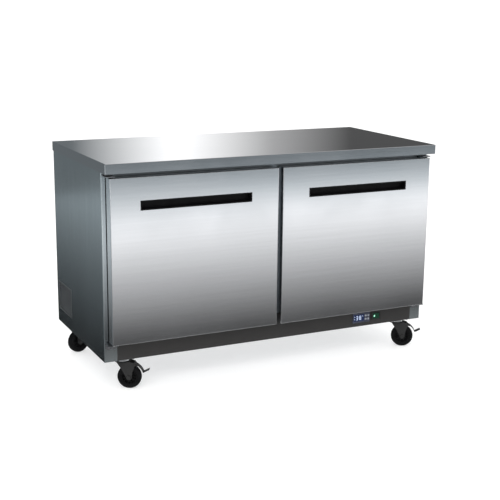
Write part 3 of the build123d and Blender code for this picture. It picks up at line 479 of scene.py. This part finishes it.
# ------------------------------------------------------------------ display: two seven-segment figures
lo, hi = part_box("controller_display")
SEG = {"0": "abcdef", "1": "bc", "2": "abged", "3": "abgcd", "4": "fgbc", "5": "afgcd", "6": "afgedc", "7": "abc", "8": "abcdefg", "9": "abcdfg"}
bm = bmesh.new()
zc, h, wd, th = (lo[2] + hi[2]) / 2, 0.0185, 0.0095, 0.0022
y_out = lo[1] - 0.00012
for i, ch in enumerate("38"):
    xl = lo[0] + 0.0125 + i * 0.0165
    top, mid, bot = zc + h / 2, zc, zc - h / 2
    boxes = {"a": (xl + 0.0008, top - th, xl + wd - 0.0008, top), "g": (xl + 0.0008, mid - th / 2, xl + wd - 0.0008, mid + th / 2),
             "d": (xl + 0.0008, bot, xl + wd - 0.0008, bot + th), "f": (xl, mid + 0.0006, xl + th, top - 0.0006), "b": (xl + wd - th, mid + 0.0006, xl + wd, top - 0.0006),
             "e": (xl, bot + 0.0006, xl + th, mid - 0.0006), "c": (xl + wd - th, bot + 0.0006, xl + wd, mid - 0.0006)}
    for sname in SEG[ch]:
        a, b, c2, d2 = boxes[sname]
        bm_box(bm, (a, y_out, b), (c2, y_out + 0.0003, d2))
# degree ring and the two status lamps
for k in range(14):
    a0, a1 = 2 * math.pi * k / 14, 2 * math.pi * (k + 1) / 14
    cx, cz2 = lo[0] + 0.0465, zc + 0.0075
    vs = [bm.verts.new((cx + r * math.cos(a), y_out, cz2 + r * math.sin(a))) for r, a in ((0.0012, a0), (0.0022, a0), (0.0022, a1), (0.0012, a1))]
    bm.faces.new(vs)
bm_box(bm, (lo[0] + 0.0035, y_out, zc + 0.004), (lo[0] + 0.0065, y_out + 0.0003, zc + 0.007))
bm_box(bm, (lo[0] + 0.0035, y_out, zc - 0.007), (lo[0] + 0.0065, y_out + 0.0003, zc - 0.004))
bmesh.ops.recalc_face_normals(bm, faces=bm.faces)
digits = mesh_object("display_figures", bm, MAT["digits"], smooth=False)
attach(digits, "root")

# a glowing spot on the rocker: a painted highlight, not a lamp
lo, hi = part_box("power_switch_rocker")
bm = bmesh.new()
a7 = math.radians(-7.0)
c = Vector(JOINTS["rocker_tip"]["pos_m"])
rot = Matrix.Translation(c) @ Matrix.Rotation(a7, 4, "Z")
for sx in (-1,):
    pts = []
    for k in range(20):
        a = 2 * math.pi * k / 20
        pts.append((sx * 0.0078 + 0.0030 * math.cos(a), 0.0046 * math.sin(a)))
    slope = (0.0114 - 0.0090) / 0.0164
    ring_o = [bm.verts.new(rot @ Vector((x, -0.0114 + abs(x) * slope - 0.0001, z))) for x, z in pts]
    ring_i = [bm.verts.new(rot @ Vector((sx * 0.0078 + (x - sx * 0.0078) * 0.75, -0.0114 + abs(sx * 0.0078 + (x - sx * 0.0078) * 0.75) * slope - 0.0005, z * 0.75))) for x, z in pts]
    for k in range(20):
        k2 = (k + 1) % 20
        bm.faces.new((ring_o[k], ring_o[k2], ring_i[k2], ring_i[k]))
    bm.faces.new(ring_i)
bmesh.ops.recalc_face_normals(bm, faces=bm.faces)
lamp = mesh_object("rocker_lamp", bm, MAT["lamp"])
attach(lamp, "rocker")

# ------------------------------------------------------------------ stage: pale floor, soft light, reflection cards
def plane(name, corners, mat):
    me = bpy.data.meshes.new(name)
    me.from_pydata(corners, [], [tuple(range(len(corners)))])
    o = link(bpy.data.objects.new(name, me))
    me.materials.append(mat)
    return o


fm = Nodes("floor_paper")
fm.set(Roughness=0.9)
fm.p.inputs["Specular IOR Level"].default_value = 0.1
fm.colour(fm.ramp(fm.noise(fm.mapping((1, 1, 1)), 0.6, 3.0, 0.5), [(0.3, (0.59, 0.59, 0.59)), (0.7, (0.61, 0.61, 0.61))]))
fm.p.inputs["Emission Color"].default_value = (1.0, 1.0, 1.0, 1.0)
fm.p.inputs["Emission Strength"].default_value = 0.5
floor = plane("floor", [(-60, -60, 0), (60, -60, 0), (60, 120, 0), (-60, 120, 0)], fm.mat)


def card(name, corners, axis, lo, hi, stops):
    """An unseen studio card: it shows only in reflections, and its brightness follows one axis."""
    m = bpy.data.materials.new(name)
    m.use_nodes = True
    t = m.node_tree
    t.nodes.clear()
    out = t.nodes.new("ShaderNodeOutputMaterial")
    em = t.nodes.new("ShaderNodeEmission")
    co = t.nodes.new("ShaderNodeTexCoord")
    sp = t.nodes.new("ShaderNodeSeparateXYZ")
    mr = t.nodes.new("ShaderNodeMapRange")
    rp = t.nodes.new("ShaderNodeValToRGB")
    mr.inputs["From Min"].default_value = lo
    mr.inputs["From Max"].default_value = hi
    el = rp.color_ramp.elements
    while len(el) < len(stops):
        el.new(0.5)
    for e, (v, colr) in zip(el, stops):
        e.position = (v - lo) / (hi - lo)
        e.color = (*[x / 2.0 for x in colr], 1.0)
    em.inputs["Strength"].default_value = 2.0
    t.links.new(co.outputs["Object"], sp.inputs[0])
    t.links.new(sp.outputs["XYZ".index(axis)], mr.inputs[0])
    t.links.new(mr.outputs[0], rp.inputs[0])
    t.links.new(rp.outputs[0], em.inputs[0])
    t.links.new(em.outputs[0], out.inputs[0])
    o = plane(name, corners, m)
    o.visible_camera = False
    o.visible_diffuse = False
    o.visible_shadow = False
    o.visible_transmission = False
    o.visible_volume_scatter = False
    return o


WHITE = (1.0, 1.0, 1.0)
COOL = (0.85, 0.95, 1.0)


def lit(v, tint=WHITE):
    return tuple(v * c for c in tint)


# a dark strip by the cabinet, a bright panel further out, then a dim cool room
card("card_front", [(-9, -14, 0.0015), (12, -14, 0.0015), (12, -0.42, 0.0015), (-9, -0.42, 0.0015)], "Y", -14.0, -0.42,
     [(-5.5, lit(0.3, COOL)), (-4.5, lit(0.8, COOL)), (-3.5, lit(1.6)), (-2.4, lit(0.9)), (-1.0, lit(0.08)), (-0.45, lit(0.4))])
# a cool, dim side of the room
card("card_left", [(-8, -0.42, 0.0015), (-0.80, -0.42, 0.0015), (-0.80, 9, 0.0015), (-8, 9, 0.0015)], "X", -8.0, -0.80,
     [(-6.0, lit(0.8, COOL)), (-2.4, lit(0.6, COOL)), (-1.3, lit(0.15, COOL)), (-0.9, lit(0.03, COOL))])
# one bright upright panel behind, with darker room to each side of it
card("card_back", [(-3.5, 4.0, 0.02), (9.0, 4.0, 0.02), (9.0, 4.0, 6.0), (-3.5, 4.0, 6.0)], "X", -3.5, 9.0,
     [(0.4, lit(0.2, COOL)), (1.3, lit(1.5)), (2.2, lit(0.5)), (3.0, lit(0.1))])
# dim far walls and a soft overhead panel
card("card_far_front", [(-16, -14, 0), (16, -14, 0), (16, -14, 8), (-16, -14, 8)], "Z", 0.0, 8.0,
     [(0.0, lit(0.1)), (8.0, lit(0.6))])
card("card_far_left", [(-9, -14, 0), (-9, 12, 0), (-9, 12, 8), (-9, -14, 8)], "Z", 0.0, 8.0,
     [(0.0, lit(0.3, COOL)), (8.0, lit(0.6))])
card("card_far_right", [(12, -14, 0), (12, 12, 0), (12, 12, 8), (12, -14, 8)], "Z", 0.0, 8.0,
     [(0.0, lit(0.3)), (8.0, lit(0.8))])
card("card_over", [(-9, -14, 8), (12, -14, 8), (12, 12, 8), (-9, 12, 8)], "Y", -14.0, 12.0,
     [(-10.0, lit(0.4)), (0.0, lit(1.0)), (8.0, lit(0.5))])

world = bpy.data.worlds.new("studio")
scene.world = world
world.use_nodes = True
bg = world.node_tree.nodes["Background"]
bg.inputs[0].default_value = (1.0, 1.0, 1.0, 1.0)
bg.inputs[1].default_value = 1.1


def area(name, loc, target, size, power, col=(1, 1, 1)):
    l = bpy.data.lights.new(name, "AREA")
    l.shape = "RECTANGLE"
    l.size, l.size_y = size
    l.energy = power
    l.color = col
    o = link(bpy.data.objects.new(name, l))
    o.location = loc
    o.rotation_euler = (Vector(target) - Vector(loc)).to_track_quat("-Z", "Y").to_euler()
    o.visible_glossy = False
    return o


area("key", (-3.2, -4.0, 4.2), (0, 0, 0.4), (2.6, 2.6), 110.0)
area("fill", (4.2, -3.0, 3.0), (0, 0, 0.5), (3.0, 3.0), 45.0)

# ------------------------------------------------------------------ camera
cam = bpy.data.cameras.new("camera")
cam.sensor_width = 36.0
cam.lens = 76.05
cam.clip_end = 400.0
co = link(bpy.data.objects.new("camera", cam))
yaw, pitch, roll = 0.457, 0.232, 0.011
fwd = Vector((math.sin(yaw) * math.cos(pitch), math.cos(yaw) * math.cos(pitch), -math.sin(pitch)))
right = Vector((math.cos(yaw), -math.sin(yaw), 0.0))
up = right.cross(fwd)
cx_ = right * math.cos(roll) + up * math.sin(roll)
cy_ = -right * math.sin(roll) + up * math.cos(roll)
m = Matrix((cx_, cy_, -fwd)).transposed().to_4x4()
m.translation = Vector((-2.0148, -4.1648, 1.5570))
co.matrix_world = m
scene.camera = co

scene.view_settings.view_transform = "Standard"
scene.view_settings.look = "None"

bpy.context.view_layer.update()
